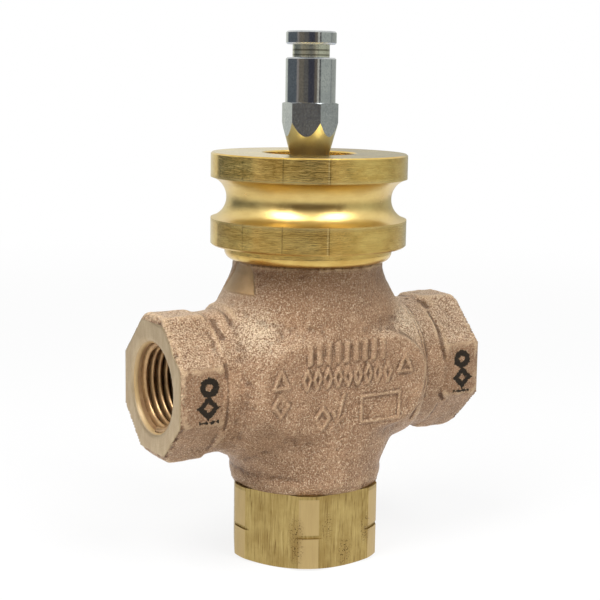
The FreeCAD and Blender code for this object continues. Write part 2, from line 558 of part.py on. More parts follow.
def pieces():
    """Every piece of the valve under its own name."""
    stem_hole = STEM_R + RUNNING_CLEARANCE
    spigot_hole = STEM_SPIGOT_R + THREAD_CLEARANCE
    named = {
        "body_casting": body_casting(),
        "bottom_port_adapter": bottom_port_adapter(),
        "adapter_gasket": ring(BOSS_THREAD_R, ADAPTER_GASKET_R, HEX_HEIGHT, BOSS_FOOT_Z),
        "bonnet": bonnet(),
        "bonnet_gasket": ring(NECK_THREAD_R, BONNET_GASKET_R,
                              NECK_TOP_Z - BONNET_GASKET_THICKNESS, NECK_TOP_Z),
        "stem": stem(),
        "plug": plug(),
        "lower_seal_ring": ring(SKIRT_R, SEAL_RING_R, PLUG_BOTTOM_Z, PLUG_BOTTOM_Z + SEAL_RING_THICKNESS),
        "upper_seal_ring": ring(SKIRT_R, SEAL_RING_R, PLUG_TOP_Z - SEAL_RING_THICKNESS, PLUG_TOP_Z),
        "plug_washer": ring(spigot_hole, PLUG_WASHER_R, PLUG_WASHER_Z, PLUG_BOTTOM_Z),
        "plug_nut": plug_nut(),
        "stem_guide_bush": ring(stem_hole, GUIDE_BUSH_R, GUIDE_BUSH_Z, PACKING_Z),
        "packing_base_ring": packing_section(PACKING_Z, V_RING_Z - V_RING_GAP, 0, V_RING_DEPTH),
        "packing_follower": packing_section(FOLLOWER_Z, SPRING_Z, V_RING_DEPTH, 0),
        "packing_spring": packing_spring(),
        "spring_washer": ring(stem_hole, PACKING_BORE_R - RUNNING_CLEARANCE,
                              SPRING_WASHER_Z, GLAND_NUT_Z),
        "gland_nut": gland_nut(),
        "wiper_ring": ring(stem_hole, WIPER_R, GLAND_NUT_TOP_Z - WIPER_HEIGHT, GLAND_NUT_TOP_Z),
        "stem_connector": stem_connector(),
    }
    for step in range(V_RING_COUNT):
        named["v_ring_%d" % (step + 1)] = v_ring(step)
    return named


os.makedirs("parts", exist_ok=True)
for name, shape in pieces().items():
    solids = shape.Solids
    print(name, "solids", len(solids), "valid", shape.isValid(), "volume", round(shape.Volume, 1))
    solids[0].exportStep("parts/" + name + ".step")
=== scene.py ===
import math

import bmesh
import bpy
import numpy as np
from mathutils import Matrix, Vector, noise


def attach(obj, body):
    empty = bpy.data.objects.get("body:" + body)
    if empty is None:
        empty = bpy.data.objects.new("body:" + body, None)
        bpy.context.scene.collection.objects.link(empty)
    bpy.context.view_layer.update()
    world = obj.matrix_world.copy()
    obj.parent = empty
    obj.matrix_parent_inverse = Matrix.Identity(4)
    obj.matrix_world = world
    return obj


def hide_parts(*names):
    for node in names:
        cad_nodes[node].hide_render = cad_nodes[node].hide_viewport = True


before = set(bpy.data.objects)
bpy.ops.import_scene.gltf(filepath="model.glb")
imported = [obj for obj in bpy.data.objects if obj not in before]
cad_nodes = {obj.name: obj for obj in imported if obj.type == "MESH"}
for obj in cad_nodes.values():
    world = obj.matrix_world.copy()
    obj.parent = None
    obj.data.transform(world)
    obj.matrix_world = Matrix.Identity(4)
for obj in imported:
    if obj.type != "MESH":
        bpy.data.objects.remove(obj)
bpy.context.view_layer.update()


# The studio. The valve stands on a white table in front of a white wall, under two soft lamps. A
# ring of light and dark shades round them is seen only by the metal, which needs something to mirror.


def put_in_scene(name, data):
    """A new object at the origin, linked to the scene."""
    made = bpy.data.objects.new(name, data)
    bpy.context.scene.collection.objects.link(made)
    return made


camera_data = bpy.data.cameras.new("photographer")
camera_data.sensor_width = 36
camera_data.lens = 83.11
camera_data.clip_start, camera_data.clip_end = 0.01, 20
camera = put_in_scene("photographer", camera_data)
camera_place = (-0.17499, -0.28667, 0.11734)
sight = Vector((0.50992262, 0.8451006, -0.16057367))
across = Vector((0.85741182, -0.51439583, 0.01555336))
upward = Vector((0.06945428, 0.14560877, 0.98690131))
turned = Matrix((across, upward, -sight)).transposed().to_4x4()
camera.matrix_world = Matrix.Translation(camera_place) @ turned
bpy.context.scene.camera = camera
bpy.context.scene.view_settings.view_transform = "Standard"


class Wire:
    """A socket in a material's nodes. Arithmetic adds Math nodes, and node() adds any other."""

    def __init__(self, socket):
        self.socket = socket

    def node(self, kind, settings, inputs, output=0):
        tree = self.socket.id_data
        made = tree.nodes.new(kind)
        for name, value in settings.items():
            if name == "stops":
                ramp = made.color_ramp
                ramp.elements.remove(ramp.elements[1])
                ramp.elements[0].position, ramp.elements[0].color = value[0]
                for place, colour in value[1:]:
                    ramp.elements.new(place).color = colour
            else:
                setattr(made, name, value)
        for name, value in inputs.items():
            if isinstance(value, Wire):
                tree.links.new(value.socket, made.inputs[name])
            else:
                made.inputs[name].default_value = value
        return Wire(made.outputs[output])

    def math(self, operation, *values):
        return self.node("ShaderNodeMath", {"operation": operation}, dict(enumerate(values)))

    def __add__(self, other):
        return self.math("ADD", self, other)

    def __radd__(self, other):
        return self.math("ADD", other, self)

    def __sub__(self, other):
        return self.math("SUBTRACT", self, other)

    def __rsub__(self, other):
        return self.math("SUBTRACT", other, self)

    def __mul__(self, other):
        return self.math("MULTIPLY", self, other)

    def __rmul__(self, other):
        return self.math("MULTIPLY", other, self)

    def __truediv__(self, other):
        return self.math("DIVIDE", self, other)

    def __gt__(self, other):
        return self.math("GREATER_THAN", self, other)

    def __lt__(self, other):
        return self.math("LESS_THAN", self, other)

    def __abs__(self):
        return self.math("ABSOLUTE", self)

    def root_of_squares(self, other):
        return self.math("SQRT", self * self + other * other)

    def axis(self, index):
        return self.node("ShaderNodeSeparateXYZ", {}, {0: self}, index)

    def stretched(self, x, y, z):
        return self.node("ShaderNodeVectorMath", {"operation": "MULTIPLY"}, {0: self, 1: (x, y, z)})

    def grain(self, scale, detail=2.0, roughness=0.5, distortion=0.0):
        return self.node("ShaderNodeTexNoise", {"noise_dimensions": "3D"}, {
            "Vector": self, "Scale": scale, "Detail": detail, "Roughness": roughness,
            "Distortion": distortion})

    def band(self, low, high):
        return self.node("ShaderNodeMapRange", {"interpolation_type": "SMOOTHSTEP"}, {
            "Value": self, "From Min": low, "From Max": high})

    def tint(self, colour, other):
        return self.node("ShaderNodeMix", {"data_type": "RGBA"}, {0: self, 6: colour, 7: other}, 2)


def tone(red, green, blue):
    """A screen colour from 0 to 255 as the linear colour that a shader takes."""
    channels = [c / 255 for c in (red, green, blue)]
    linear = [c / 12.92 if c < 0.04045 else ((c + 0.055) / 1.055) ** 2.4 for c in channels]
    return tuple(linear) + (1,)


def new_finish(name):
    """An empty material: the material, its shader and a wire with the object coordinates."""
    material = bpy.data.materials.new(name)
    material.use_nodes = True
    nodes = material.node_tree.nodes
    coordinates = nodes.new("ShaderNodeTexCoord")
    return material, nodes["Principled BSDF"], Wire(coordinates.outputs["Object"])


def set_shader(shader, values):
    """Sets or links sockets of a shader by name."""
    for name, value in values.items():
        if isinstance(value, Wire):
            shader.id_data.links.new(value.socket, shader.inputs[name])
        else:
            shader.inputs[name].default_value = value


def relief(height, strength, depth):
    """A bump from a height wire; depth is in metres."""
    return height.node("ShaderNodeBump", {}, {
        "Strength": strength, "Distance": depth, "Height": height})


def backdrop_share(material):
    """1 for rays that show the backdrop: from the camera, a mirror or glass."""
    path = material.node_tree.nodes.new("ShaderNodeLightPath")
    seen, mirrored, through = (Wire(path.outputs[name]) for name in (
        "Is Camera Ray", "Is Glossy Ray", "Is Transmission Ray"))
    return seen.math("MAXIMUM", seen, mirrored.math("MAXIMUM", mirrored, through))


def show_glow(material, surface):
    """Puts a glowing surface in place of the material's own."""
    output = material.node_tree.nodes["Material Output"]
    material.node_tree.links.new(surface.socket, output.inputs["Surface"])


room_light, backdrop_light = 0.28, 1.0
world = bpy.data.worlds.new("studio")
bpy.context.scene.world = world
world.use_nodes = True
air = world.node_tree.nodes["Background"]
set_shader(air, {
    "Color": (1, 1, 1, 1),
    "Strength": backdrop_share(world) * (backdrop_light - room_light) + room_light})

table_edge = 6.0
table_mesh = bpy.data.meshes.new("table")
table_mesh.from_pydata([
    (-table_edge, -table_edge, 0), (table_edge, -table_edge, 0),
    (table_edge, table_edge, 0), (-table_edge, table_edge, 0)], [], [(0, 1, 2, 3)])
table = put_in_scene("table", table_mesh)
table_paint, table_shader, table_place = new_finish("white_table")
set_shader(table_shader, {
    "Base Color": (0.9, 0.9, 0.9, 1), "Roughness": 0.8, "Specular IOR Level": 0.1})
glow = table_place.node("ShaderNodeEmission", {}, {
    "Color": (1, 1, 1, 1), "Strength": backdrop_light})
table_reach = table_place.node("ShaderNodeVectorMath", {"operation": "LENGTH"}, {0: table_place}, 1)
table_mix = table_place.node("ShaderNodeMixShader", {}, {
    0: backdrop_share(table_paint) * (table_reach.band(0.1, 0.7) * 0.15 + 0.85),
    1: Wire(table_shader.outputs[0]), 2: glow})
show_glow(table_paint, table_mix)
table_mesh.materials.append(table_paint)


def soft_lamp(name, place, width, height, watts):
    """A rectangular lamp that faces the middle of the valve."""
    lamp = bpy.data.lights.new(name, "AREA")
    lamp.shape, lamp.size, lamp.size_y, lamp.energy = "RECTANGLE", width, height, watts
    to_valve = Vector((0, 0, 0.06)) - Vector(place)
    holder = put_in_scene(name, lamp)
    holder.location = place
    holder.rotation_euler = to_valve.to_track_quat("-Z", "Y").to_euler()


soft_lamp("lamp_left", (-0.37, -0.12, 0.60), 0.28, 0.44, 3.7)
soft_lamp("lamp_right", (0.10, -0.38, 0.60), 0.28, 0.44, 3.0)

# What stands round the valve at table height, in degrees to the right of the camera: mirrors show
# it, and nothing else does. It fades to white upwards.
camera_bearing = 121.4
surroundings = ((-180, (0.80, 0.82, 0.75)), (-130, (0.15, 0.17, 0.19)), (-66, (0.40, 0.36, 0.34)),
                (-56, (0.23, 0.20, 0.16)), (-31, (0.16, 0.15, 0.14)), (-11, (0.07, 0.07, 0.09)),
                (17, (0.20, 0.17, 0.14)), (31, (0.80, 0.78, 0.70)), (39, (0.05, 0.05, 0.06)),
                (46, (0.54, 0.57, 0.53)), (104, (0.25, 0.26, 0.26)), (109, (0.50, 0.52, 0.48)))
wall_radius, wall_height = 0.50, 0.36
wall_steps = 96
wall_corners, wall_faces = [], []
for step in range(wall_steps):
    turn = 2 * math.pi * step / wall_steps
    corner_x, corner_y = wall_radius * math.cos(turn), wall_radius * math.sin(turn)
    wall_corners += [(corner_x, corner_y, 0.0), (corner_x, corner_y, wall_height)]
    after = (step + 1) % wall_steps
    wall_faces.append((2 * step, 2 * after, 2 * after + 1, 2 * step + 1))
wall_mesh = bpy.data.meshes.new("mirrored_wall")
wall_mesh.from_pydata(wall_corners, [], wall_faces)
wall = put_in_scene("mirrored_wall", wall_mesh)
wall.visible_camera = wall.visible_diffuse = wall.visible_shadow = False
wall.visible_transmission = wall.visible_volume_scatter = False
wall_paint, _, wall_place = new_finish("mirrored_wall")
wall_turn = wall_place.axis(1).math("ARCTAN2", wall_place.axis(1), wall_place.axis(0))
wall_share = (wall_turn + math.radians(camera_bearing)) / (2 * math.pi) + 0.5
wall_stops = []
for number, (start, shade) in enumerate(surroundings):
    end = surroundings[number + 1][0] if number + 1 < len(surroundings) else 180
    wall_stops += [((start + 1) / 360 + 0.5, shade + (1,)), ((end - 1) / 360 + 0.5, shade + (1,))]
wall_colour = wall_share.node("ShaderNodeValToRGB", {"stops": wall_stops}, {
    "Fac": wall_share.math("FRACT", wall_share)})
wall_colour = wall_place.axis(2).band(0.16, 0.34).tint(wall_colour, (1, 1, 1, 1))
wall_glow = wall_place.node("ShaderNodeEmission", {}, {"Color": wall_colour, "Strength": 1.0})
show_glow(wall_paint, wall_glow)
wall_mesh.materials.append(wall_paint)


# The body casting. Bronze poured in a sand mould: a rough, glittering skin with soft corners.
# The ends are faced and bored, and a strip on either side of the neck was ground along the joint of
# the mould. Bars, lozenges, triangles, a frame and an arrow stand raised on the front pad.

SKIN_CELL = 0.00056
FOOT_Z, NECK_TOP_Z = 0.01895, 0.07305
PORT_Z, FACE_X = 0.04495, 0.0419
PORT_BORE_R, PORT_BORE_END_X = 0.01135, 0.0165
BOSS_BORE_R, CHAMBER_R = 0.0152, 0.0140
FACET_Y, FACET_START_X = -0.01545, 0.0312
PAD_HALF_WIDTH, PAD_HALF_HEIGHT = 0.0225, 0.0125
PLUG_CLEARANCE = 0.00024
FOOT_INNER_R, FOOT_DROP = 0.0167, 0.00044
GROUND_DEPTH = 0.00016
MARK_HEIGHT, MARK_EDGE = 0.00050, 0.0007


def settled(piece):
    """A piece's shape with its modifiers worked in, as a plain mesh. The modifiers go."""
    shape = piece.evaluated_get(bpy.context.evaluated_depsgraph_get())
    mesh = bpy.data.meshes.new_from_object(shape)
    piece.modifiers.clear()
    return mesh


casting = put_in_scene("casting_skin", cad_nodes["body_casting"].data.copy())
shell = bmesh.new()
shell.from_mesh(casting.data)
bmesh.ops.remove_doubles(shell, verts=shell.verts, dist=1e-6)
shell.to_mesh(casting.data)
shell.free()
sand = casting.modifiers.new("sand", "REMESH")
sand.mode, sand.voxel_size = "VOXEL", SKIN_CELL
seat = casting.modifiers.new("seat", "SHRINKWRAP")
seat.target, seat.wrap_method = cad_nodes["body_casting"], "NEAREST_SURFACEPOINT"
casting_mesh = settled(casting)
casting.data = casting_mesh

# The front pad gets a finer mesh for its raised marks.
pad = bmesh.new()
pad.from_mesh(casting_mesh)
pad_edges = [e for e in pad.edges if all(
    v.co.y < -0.0186 and abs(v.co.x) < PAD_HALF_WIDTH
    and abs(v.co.z - PORT_Z) < PAD_HALF_HEIGHT for v in e.verts)]
bmesh.ops.subdivide_edges(pad, edges=pad_edges, cuts=1, use_grid_fill=True)
bmesh.ops.triangulate(pad, faces=[f for f in pad.faces if len(f.verts) > 4])
pad.to_mesh(casting_mesh)
pad.free()

count = len(casting_mesh.vertices)
points = np.empty(count * 3)
casting_mesh.vertices.foreach_get("co", points)
points = points.reshape(-1, 3)
pairs = np.empty(len(casting_mesh.edges) * 2, int)
casting_mesh.edges.foreach_get("vertices", pairs)
pairs = pairs.reshape(-1, 2)
ends = pairs.ravel()
others = pairs[:, ::-1].ravel()
neighbours = np.maximum(np.bincount(ends, minlength=count), 1)
from_stem = np.hypot(points[:, 0], points[:, 1])
from_port = np.hypot(points[:, 1], points[:, 2] - PORT_Z)
beyond = np.abs(points[:, 0])
machined = (beyond > FACE_X - 0.00004) | (from_stem < BOSS_BORE_R)
machined |= (from_port < PORT_BORE_R) & (beyond > PORT_BORE_END_X)
machined |= (points[:, 2] > NECK_TOP_Z) | (points[:, 2] < FOOT_Z)
raw = np.where(machined, 0.0, 1.0)


def eased(values, rounds, share):
    """Rows of values averaged with their neighbours; share may differ from point to point."""
    values = values.copy()
    for _ in range(rounds):
        for column in range(values.shape[1]):
            total = np.bincount(ends, weights=values[others, column], minlength=count)
            values[:, column] += (total / neighbours - values[:, column]) * share
    return values


def rise(values, start, length):
    """0 up to the start and 1 from a length beyond it; a negative length falls instead."""
    return np.clip((values - start) / length, 0, 1)


def bar(x, z, x0, z0, x1, z1, half):
    """How far points lie inside a bar with round ends, in metres."""
    run = np.array([x1 - x0, z1 - z0])
    along = np.clip(((x - x0) * run[0] + (z - z0) * run[1]) / (run @ run), 0, 1)
    return half - np.hypot(x - x0 - along * run[0], z - z0 - along * run[1])


def outline(x, z, corners, half):
    """How far points lie inside the line round a closed figure."""
    inside = np.full(len(x), -1.0)
    for (x0, z0), (x1, z1) in zip(corners, corners[1:] + corners[:1]):
        inside = np.maximum(inside, bar(x, z, x0, z0, x1, z1, half))
    return inside


# The skin is softened everywhere, and more at the left end of the barrel and round the pad's plate.
points = eased(points, 3, 0.5 * raw)
left_end = rise(points[:, 0], -0.0302, 0.0015) * rise(points[:, 0], -0.0200, -0.002)
left_end *= 1 - rise(points[:, 2], 0.0560, 0.003) * rise(np.abs(points[:, 1]), 0.0100, -0.003)
from_plate = np.hypot(np.maximum(beyond - 0.0115, 0), points[:, 2] - PORT_Z) - 0.0122
plate_edge = np.clip(1.4 - np.abs(from_plate) / 0.0028, 0, 1) * (np.abs(points[:, 1]) > 0.0130)
plate_edge *= np.clip(1 - (points[:, 0] - 0.012) / 0.006, 0.2, 1)
points = eased(points, 44, 0.5 * raw * np.maximum(left_end, plate_edge))

# The foot stands upright for its last millimetre and reaches down over the gasket, so that the seam
# is only a line.
from_axis = np.hypot(points[:, 0], points[:, 1])
at_foot = (from_axis > FOOT_INNER_R) & (points[:, 2] < 0.0225)
spread = at_foot * np.interp(
    points[:, 2], [0.0189, 0.0198, 0.0206, 0.0225], [0.0010, 0.0006, 0.0002, 0.0])
points[:, :2] *= (1 + spread / np.maximum(from_axis, 0.01))[:, None]
points[:, 2] -= FOOT_DROP * at_foot * rise(points[:, 2], 0.0196, -0.0007)

casting_mesh.vertices.foreach_set("co", points.ravel())
casting_mesh.update()
normals = np.empty(count * 3)
casting_mesh.vertices.foreach_get("normal", normals)
normals = normals.reshape(-1, 3)

# The strip ground below the bonnet widens downwards, and its edges are sharp. The rims of the two end
# faces are a little broken, and the raw skin rises and falls in three sizes of grain.
ground_half = 0.0041 + (0.0722 - points[:, 2]) * 0.645
ground = np.clip((ground_half - np.abs(points[:, 1])) / 0.0004, 0, 1)
ground *= rise(points[:, 2], 0.0659, 0.0004) * (np.abs(points[:, 0]) < 0.026) * raw
rim = rise(np.abs(points[:, 0]), 0.0406, 0.0006) * (from_port > 0.0125)
height = np.zeros(count)
for n in np.nonzero(raw)[0]:
    spot = Vector(points[n])
    height[n] = 0.00018 * noise.noise(spot * 150)
    height[n] += 0.00012 * noise.noise(spot * 420 + Vector((7, 0, 0)))
    height[n] += 0.00007 * noise.noise(spot * 900) - 0.0005 * rim[n] * abs(noise.noise(spot * 620))
height *= 1 - ground
height -= GROUND_DEPTH * ground

# The raised marks: upright bars, a row of lozenges, two triangles, two more lozenges, a frame and an
# arrow.
on_pad = (np.abs(points[:, 0]) < 0.023) & (points[:, 1] < -0.0183)
on_pad &= np.abs(points[:, 2] - PORT_Z) < 0.0135
spots = np.nonzero(on_pad)[0]
x, z = points[spots, 0], points[spots, 2]
marks = np.full(len(spots), -1.0)
for step in range(9):
    left = -0.0103 + 0.00253 * step
    marks = np.maximum(marks, bar(x, z, left, 0.0513, left, 0.0551, 0.00062))
figures = []
for step in range(9):
    middle = -0.0111 + 0.00283 * step
    figures.append((0.00040, [(middle - 0.00095, 0.0473), (middle, 0.0494),
                              (middle + 0.00095, 0.0473), (middle, 0.0452)]))
for middle, level in ((-0.0180, 0.0479), (0.0166, 0.0489)):
    figures.append((0.00042, [(middle - 0.0019, level - 0.0019), (middle + 0.0019, level - 0.0019),
                              (middle, level + 0.0021)]))
for middle, level in ((-0.0180, 0.0419), (-0.0068, 0.0377)):
    figures.append((0.00045, [(middle - 0.0019, level), (middle, level - 0.0024),
                              (middle + 0.0019, level), (middle, level + 0.0024)]))
figures.append((0.00028, [(0.0042, 0.0420), (0.0152, 0.0420), (0.0152, 0.0357), (0.0042, 0.0357)]))
for half, corners in figures:
    marks = np.maximum(marks, outline(x, z, corners, half))
for x0, z0, x1, z1 in ((-0.0008, 0.0428, -0.0026, 0.0366), (-0.0026, 0.0366, -0.0036, 0.0386),
                       (-0.0026, 0.0366, -0.0006, 0.0379)):
    marks = np.maximum(marks, bar(x, z, x0, z0, x1, z1, 0.00045))
worn_down = np.array([0.80 + 0.6 * noise.noise(Vector(points[n]) * 260) for n in spots])
raised = np.zeros(count)
raised[spots] = np.clip(marks / MARK_EDGE + 0.5, 0, 1)
height[spots] += raised[spots] * worn_down * MARK_HEIGHT

# Creases where the mould's sand washed or tore, each a width, a depth and the line that it follows:
# four beside the right octagon, a long one at the right end of the barrel, and two beside the left
# octagon. The one before the last is a swelling, so its depth is negative.
creases = (
    (0.0006, 0.0006, ((0.0309, -0.0085, 0.0590), (0.0312, -0.0123, 0.0545), (0.0310, -0.0145, 0.0518),
                      (0.0312, -0.0154, 0.0484))),
    (0.0006, 0.0006, ((0.0306, -0.0149, 0.0386), (0.0320, -0.0142, 0.0369))),
    (0.0011, 0.0010, ((0.0313, -0.0048, 0.0612), (0.0314, -0.0066, 0.0605))),
    (0.0006, 0.0005, ((0.0284, -0.0019, 0.0615), (0.0284, -0.0021, 0.0615))),
    (0.0006, 0.0004, ((0.0238, -0.0045, 0.0625), (0.0236, -0.0107, 0.0596), (0.0236, -0.0154, 0.0547),
                      (0.0238, -0.0170, 0.0511), (0.0237, -0.0185, 0.0440), (0.0224, -0.0183, 0.0392),
                      (0.0217, -0.0149, 0.0338))),
    (0.0012, 0.0006, ((-0.0285, -0.0050, 0.0612), (-0.0290, -0.0072, 0.0601),
                      (-0.0286, -0.0100, 0.0580))),
    (0.0034, -0.0011, ((-0.0257, -0.0040, 0.0638), (-0.0257, 0.0040, 0.0638))),
    (0.0005, 0.0003, ((-0.0300, -0.0143, 0.0520), (-0.0302, -0.0157, 0.0441),
                      (-0.0298, -0.0138, 0.0366))))
for width, depth, line in creases:
    away = np.full(count, 1.0)
    for start, end in zip(line, line[1:]):
        start, run = np.array(start), np.array(end) - np.array(start)
        along = np.clip((points - start) @ run / (run @ run), 0, 1)
        away = np.minimum(away, np.linalg.norm(points - start - along[:, None] * run, axis=1))
    height -= depth * np.exp(-(away / width) ** 2) * raw

# The bores that the plug slides in have the clearance of a running fit.
running_fit = (from_stem < CHAMBER_R) & (points[:, 2] > 0.0200) & (points[:, 2] < 0.0725)
points += normals * (height * raw - PLUG_CLEARANCE * running_fit)[:, None]

# The bend between neck and barrel on the left is a smooth hollow.
bend = np.array([-0.0272, 0.0, 0.0632])
from_bend = np.linalg.norm((points - bend) * (1.0, 0.7, 1.0), axis=1)
points = eased(points, 14, 0.5 * raw * np.exp(-(from_bend / 0.0034) ** 2))
casting_mesh.vertices.foreach_set("co", points.ravel())
casting_mesh.update()
# How hollow or rounded the skin is: the shader paints shade into the hollows and wear onto the rounded
# edges.
hollow = ((eased(points, 6, 0.5 * raw) - points) * normals).sum(1) * raw
tooled_edge = eased(machined.astype(float)[:, None], 2, 0.6)[:, 0]
for name, share in (("worn", np.clip(0.5 - hollow / 0.0003, 0, 1)), ("tooled", tooled_edge),
                    ("raised", raised), ("ground", ground)):
    layer = casting_mesh.attributes.new(name, "FLOAT", "POINT")
    layer.data.foreach_set("value", share.astype(np.float32))
casting_mesh.shade_smooth()

bronze, bronze_shader, bronze_place = new_finish("cast_bronze")
shade_and_wear, tool_share, ground_share, mark_share = (
    bronze_place.node("ShaderNodeAttribute", {"attribute_name": name}, {}, 2)
    for name in ("worn", "tooled", "ground", "raised"))
bronze_x, bronze_y, bronze_z = (bronze_place.axis(n) for n in range(3))
side_reach = abs(bronze_x)
sand_grain = bronze_place.grain(2700.0, 2.0, 0.65)
fine_grain = bronze_place.grain(5600.0, 1.0, 0.5)
patches = bronze_place.grain(170.0, 4.0, 0.6)
port_radius = bronze_y.root_of_squares(bronze_z - PORT_Z)
tooled = (tool_share + (sand_grain - 0.5) * 0.7).band(0.46, 0.56)
faced = (side_reach > FACE_X - 0.0004) * tooled
speck = sand_grain * 0.7 + fine_grain * 0.3
skin_colour = patches.band(0.3, 0.72).tint(tone(152, 117, 88), tone(176, 139, 107))
skin_colour = (speck.band(0.49, 0.62) * 0.75).tint(skin_colour, tone(220, 194, 162))
skin_colour = (speck.band(0.46, 0.34) * 0.75).tint(skin_colour, tone(100, 71, 52))
# Sparse near-white grains are a painted highlight: glints painted into the skin's colour.
skin_colour = (speck.band(0.60, 0.67) * 0.7).tint(skin_colour, tone(246, 232, 206))
# Upward-facing skin is painted paler in its grain: a painted highlight of the lamps above.
painted_top_highlight = bronze_place.node("ShaderNodeNewGeometry", {}, {}, 1).axis(2).band(0.15, 0.75)
skin_colour = (painted_top_highlight * speck.band(0.44, 0.58) * 0.6).tint(skin_colour, tone(236, 216, 188))
# A light patch on each shoulder of the barrel is a painted highlight of the lamps' glare.
folded = side_reach.node("ShaderNodeCombineXYZ", {}, {0: side_reach, 1: bronze_y, 2: bronze_z})
from_shoulder = folded.node("ShaderNodeVectorMath", {"operation": "DISTANCE"}, {
    0: folded, 1: (0.0204, -0.0120, 0.0578)}, 1)
painted_shoulder_highlight = from_shoulder.band(0.0080, 0.0015) * speck.band(0.42, 0.56)
skin_colour = (painted_shoulder_highlight * 0.6).tint(skin_colour, tone(244, 226, 196))
front_facet = (bronze_y < FACET_Y + 0.0007) * (side_reach > FACET_START_X)
# The two front facets are painted darker: painted shade.
skin_colour = (front_facet * 0.32).tint(skin_colour, tone(118, 88, 62))
# The neck just under the bonnet is painted darker, ragged at the edge: a painted shadow of the flange.
painted_bonnet_shadow = (bronze_z + (patches - 0.5) * 0.008).band(0.0610, 0.0700)
skin_colour = (painted_bonnet_shadow * 0.45).tint(skin_colour, tone(104, 76, 54))
skin_colour = (mark_share * 0.3).tint(skin_colour, tone(196, 162, 128))
# The skin's hollows are painted darker: painted shade.
skin_colour = (shade_and_wear.band(0.5, 0.2) * 0.65).tint(skin_colour, tone(88, 62, 46))
rubbed_bright = shade_and_wear.band(0.55, 0.95) * (0.55 - mark_share * 0.3)
skin_colour = rubbed_bright.tint(skin_colour, tone(224, 196, 160))
ground_colour = patches.band(0.3, 0.7).tint(tone(146, 118, 82), tone(164, 134, 96))
skin_colour = ground_share.tint(skin_colour, ground_colour)
bore_colour = patches.band(0.3, 0.7).tint(tone(152, 118, 84), tone(178, 146, 106))
face_rings = port_radius.node("ShaderNodeTexNoise", {"noise_dimensions": "1D"}, {
    "W": port_radius, "Scale": 7000.0, "Detail": 2.0, "Roughness": 0.7})
face_smears = bronze_place.stretched(1, 1, 0.35).grain(700.0, 3.0, 0.6)
face_marks = (face_rings * 0.5 + face_smears * 0.5).band(0.36, 0.66)
face_colour = face_marks.tint(tone(184, 160, 126), tone(206, 186, 152))
mouth_share = (side_reach > FACE_X - 0.0013) * 0.7
bore_colour = mouth_share.tint(bore_colour, tone(204, 174, 120))
bronze_colour = tooled.tint(skin_colour, faced.tint(bore_colour, face_colour))

# Ink on the two front facets: a ring, a lozenge and a row of dots, bold and a little bled. Its middle
# lies farther out on the right.
INK_X, INK_X_MORE_ON_RIGHT = 0.0348, 0.0017
INK_RING_Z, INK_LOZENGE_Z, INK_DOTS_Z = 0.0474, 0.0427, 0.0393
ink_out = side_reach - INK_X - (bronze_x > 0) * INK_X_MORE_ON_RIGHT
ink_blot = (bronze_place.grain(1500.0, 3.0, 0.65) - 0.5) * 0.0015
ring_height = bronze_z - INK_RING_Z
from_ring = ring_height.math("SQRT", ink_out * ink_out * 0.8 + ring_height * ring_height)
ink_ring = 0.00085 - abs(from_ring - 0.0015)
lozenge_height = abs(bronze_z - INK_LOZENGE_Z)
ink_lozenge = 0.00080 - abs((abs(ink_out - 0.0002) + lozenge_height) * 0.75 - 0.0015)
dot_out = (ink_out + 0.0024).math("PINGPONG", ink_out + 0.0024, 0.0008)
ink_dots = 0.00055 - abs(bronze_z - INK_DOTS_Z) - dot_out * 0.5 - (abs(ink_out) > 0.0025) * 0.01
ink = ink_ring.math("MAXIMUM", ink_ring, ink_lozenge.math("MAXIMUM", ink_lozenge, ink_dots)) + ink_blot
ink_spread = ink.band(0.0, 0.0002) * front_facet * (1 - tooled)
ink_tone = ink.band(0.0001, 0.0004).tint(tone(58, 46, 32), tone(34, 30, 23))
bronze_colour = (ink_spread * 0.96).tint(bronze_colour, ink_tone)
raw_share = (1 - tooled) * (1 - ground_share * 0.8)
set_shader(bronze_shader, {
    "Base Color": bronze_colour,
    "Metallic": 0.70 + faced * 0.15 - tooled * (1 - faced) * 0.6,
    "Roughness": 0.32 + (1 - speck) * 0.14 + faced * 0.06 + ink_spread * 0.3,
    "Normal": relief(
        speck * raw_share + face_rings * faced * 0.04 + patches * (1 - faced) * tooled * 0.2,
        1.0, 0.00080)})
casting_mesh.materials.clear()
casting_mesh.materials.append(bronze)
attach(casting, "valve_body")
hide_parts("body_casting")


# The three ports. A taper pipe thread is cut with a tap in the bronze of the two side ports and in the
# brass of the bottom one: a helical ridge that runs in from the mouth, marked a little by the tap and
# stained in patches.

THREAD_PITCH = 0.001814
THREAD_HEIGHT = 0.00125
THREAD_ROOT_R = 0.01056
THREAD_START = 0.0016
RIDGE_HALF_FOOT, RIDGE_HALF_CREST = 0.46, 0.07

thread_tree = bpy.data.node_groups.new("pipe_thread", "GeometryNodeTree")
thread_tree.interface.new_socket("Geometry", in_out="OUTPUT", socket_type="NodeSocketGeometry")
thread_inputs = {}
for name, kind, value in (("Turns", "NodeSocketFloat", 7.0),
                          ("Pitch", "NodeSocketFloat", THREAD_PITCH),
                          ("Mouth radius", "NodeSocketFloat", THREAD_ROOT_R),
                          ("Height", "NodeSocketFloat", THREAD_HEIGHT),
                          ("Taper", "NodeSocketFloat", 1 / 32),
                          ("Finish", "NodeSocketMaterial", None)):
    socket = thread_tree.interface.new_socket(name, in_out="INPUT", socket_type=kind)
    thread_inputs[name] = socket.identifier
    if value is not None:
        socket.default_value = value


def thread_node(kind, inputs, **settings):
    """A node of the thread's tree, with its inputs set or linked."""
    made = thread_tree.nodes.new(kind)
    for name, value in settings.items():
        setattr(made, name, value)
    for name, value in inputs.items():
        if isinstance(value, bpy.types.NodeSocket):
            thread_tree.links.new(value, made.inputs[name])
        else:
            made.inputs[name].default_value = value
    return made


def reckoned(operation, first, second):
    """The socket of a sum on two sockets or numbers in the thread's tree."""
    return thread_node("ShaderNodeMath", {0: first, 1: second}, operation=operation).outputs[0]


